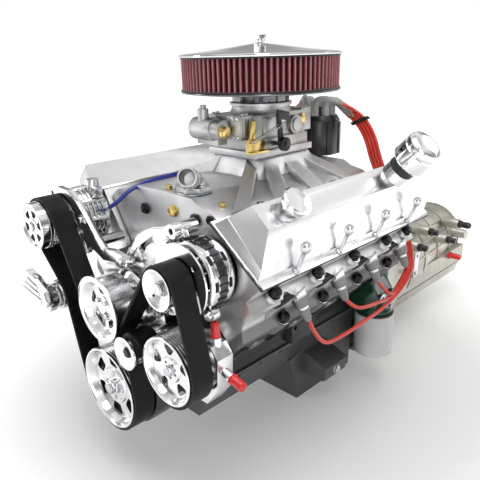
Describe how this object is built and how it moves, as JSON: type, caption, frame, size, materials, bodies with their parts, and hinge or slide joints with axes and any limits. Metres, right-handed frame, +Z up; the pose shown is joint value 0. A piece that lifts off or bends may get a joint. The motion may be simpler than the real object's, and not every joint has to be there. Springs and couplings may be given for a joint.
{
  "type": "v8 engine with automatic transmission",
  "caption": "Polished ninety degree V engine with serpentine accessory drive, round air cleaner and a bolted-on automatic transmission.",
  "frame": {"origin": "middle of the underside of the oil pan's sump, which the engine rests on", "axes": "+Z up, +Y rearwards along the crankshaft to the output shaft, +X to the engine's left bank"},
  "size_m": [0.7201, 1.541, 0.869],
  "materials": {
    "black_block": "semi-gloss black paint",
    "dark_steel": "dark satin",
    "forged_steel": "machined",
    "bare_aluminium": "as cast",
    "polished_aluminium": "polished",
    "satin_aluminium": "satin cast",
    "gasket_steel": "thin sheet",
    "bolt_steel": "plated",
    "chrome": "mirror",
    "black_rubber": "matte",
    "black_steel": "gloss black",
    "brass": "gold plated",
    "red_pleats": "oiled cotton gauze pleats",
    "black_plastic": "moulded",
    "red_wire": "silicone jacket",
    "blue_rubber": "silicone",
    "belt_rubber": "ribbed belt",
    "red_plastic": "moulded cap",
    "white_filter": "gloss enamel",
    "green_casting": "gloss enamel",
    "dark_pan": "satin enamel",
    "transmission_grey": "as cast"
  },
  "bodies": {
    "engine": {"cylinder_block": "black_block", "main_bearing_caps": "dark_steel", "pistons": "bare_aluminium", "timing_chain": "dark_steel", "timing_cover": "polished_aluminium", "oil_pan": "dark_pan", "head_gaskets": "gasket_steel", "left_cylinder_head": "polished_aluminium", "right_cylinder_head": "polished_aluminium", "head_bolts": "bolt_steel", "spark_plugs": "bolt_steel", "left_valve_cover": "polished_aluminium", "right_valve_cover": "polished_aluminium", "valve_cover_bolts": "chrome", "breather_grommet": "black_rubber", "breather": "chrome", "intake_manifold": "satin_aluminium", "thermostat_housing": "bare_aluminium", "carburetor_body": "polished_aluminium", "carburetor_fittings": "brass", "air_cleaner_base": "chrome", "air_filter_element": "red_pleats", "air_cleaner_lid": "chrome", "distributor_housing": "satin_aluminium", "distributor_cap": "black_plastic", "plug_wires": "red_wire", "blue_hose": "blue_rubber", "serpentine_belt": "belt_rubber", "water_pump_housing": "polished_aluminium", "alternator_housing": "polished_aluminium", "alternator_stator": "dark_steel", "accessory_brackets": "polished_aluminium", "steering_pump": "polished_aluminium", "hose_caps": "red_plastic", "compressor_body": "polished_aluminium", "compressor_bracket": "polished_aluminium", "tensioner_base": "polished_aluminium", "oil_filter": "white_filter", "oil_filter_adapter": "green_casting", "transmission_case": "transmission_grey", "transmission_pan": "transmission_grey", "transmission_connectors": "black_plastic"},
    "crank": {"crankshaft": "forged_steel", "harmonic_damper": "dark_steel", "crank_pulley": "polished_aluminium", "torque_converter": "dark_steel"},
    "camshaft": {"camshaft": "forged_steel"},
    "distributor_rotor": {"distributor_shaft": "forged_steel"},
    "water_pump": {"water_pump_pulley": "polished_aluminium"},
    "alternator_rotor": {"alternator_rotor": "polished_aluminium"},
    "steering_pulley": {"steering_pulley": "polished_aluminium"},
    "compressor_pulley": {"compressor_pulley": "polished_aluminium"},
    "idler_pulley": {"idler_pulley": "polished_aluminium"},
    "tensioner_arm": {"tensioner_arm": "polished_aluminium"},
    "tensioner_pulley": {"tensioner_pulley": "polished_aluminium"},
    "throttle": {"throttle_lever": "black_steel"},
    "shift_lever": {"shift_lever": "bolt_steel"},
    "output_shaft": {"output_shaft": "forged_steel"},
    "oil_fill_cap": {"oil_fill_cap": "chrome"}
  },
  "joints": [
    {"name": "crank_spin", "type": "hinge", "parent": "engine", "child": "crank", "pos_m": [0, 0, 0.205], "axis": [0, 1, 0], "continuous": true},
    {"name": "camshaft_spin", "type": "hinge", "parent": "engine", "child": "camshaft", "pos_m": [0, 0, 0.336], "axis": [0, 1, 0], "continuous": true},
    {"name": "distributor_spin", "type": "hinge", "parent": "engine", "child": "distributor_rotor", "pos_m": [0, 0.107, 0.505], "axis": [0, 0, 1], "continuous": true},
    {"name": "water_pump_spin", "type": "hinge", "parent": "engine", "child": "water_pump", "pos_m": [0, 0, 0.3806], "axis": [0, 1, 0], "continuous": true},
    {"name": "alternator_spin", "type": "hinge", "parent": "engine", "child": "alternator_rotor", "pos_m": [0.1909, 0, 0.4761], "axis": [0, 1, 0], "continuous": true},
    {"name": "steering_spin", "type": "hinge", "parent": "engine", "child": "steering_pulley", "pos_m": [0.1986, 0, 0.3278], "axis": [0, 1, 0], "continuous": true},
    {"name": "compressor_spin", "type": "hinge", "parent": "engine", "child": "compressor_pulley", "pos_m": [-0.2, 0, 0.508], "axis": [0, 1, 0], "continuous": true},
    {"name": "idler_spin", "type": "hinge", "parent": "engine", "child": "idler_pulley", "pos_m": [0.098, 0, 0.329], "axis": [0, 1, 0], "continuous": true},
    {"name": "tensioner_swing", "type": "hinge", "parent": "engine", "child": "tensioner_arm", "pos_m": [-0.196, -0.515, 0.323], "axis": [0, -1, 0], "range_deg": [0, 15], "stiffness_Nm_per_rad": 20, "springref_deg": -20.05},
    {"name": "tensioner_spin", "type": "hinge", "parent": "tensioner_arm", "child": "tensioner_pulley", "pos_m": [-0.1685, 0, 0.359], "axis": [0, 1, 0], "continuous": true},
    {"name": "throttle_open", "type": "hinge", "parent": "engine", "child": "throttle", "pos_m": [0, -0.137, 0.645], "axis": [1, 0, 0], "range_deg": [0, 80], "stiffness_Nm_per_rad": 0.4, "springref_deg": -34.38},
    {"name": "shift_select", "type": "hinge", "parent": "engine", "child": "shift_lever", "pos_m": [0.17, 0.365, 0.209], "axis": [1, 0, 0], "range_deg": [0, 45]},
    {"name": "output_spin", "type": "hinge", "parent": "engine", "child": "output_shaft", "pos_m": [0, 0, 0.195], "axis": [0, 1, 0], "continuous": true},
    {"name": "oil_cap_turn", "type": "hinge", "parent": "engine", "child": "oil_fill_cap", "pos_m": [0.2885, -0.353, 0.58118], "axis": [0.7071, 0, 0.7071], "range_deg": [0, 90]}
  ],
  "couplings": [
    {"joint": "camshaft_spin", "follows": "crank_spin", "ratio": 0.5},
    {"joint": "distributor_spin", "follows": "crank_spin", "ratio": -0.5},
    {"joint": "water_pump_spin", "follows": "crank_spin", "ratio": -1.4117},
    {"joint": "alternator_spin", "follows": "crank_spin", "ratio": 2.4339},
    {"joint": "steering_spin", "follows": "crank_spin", "ratio": 1.3402},
    {"joint": "compressor_spin", "follows": "crank_spin", "ratio": 1.694},
    {"joint": "idler_spin", "follows": "crank_spin", "ratio": -3.137},
    {"joint": "tensioner_spin", "follows": "crank_spin", "ratio": -2.6469}
  ]
}
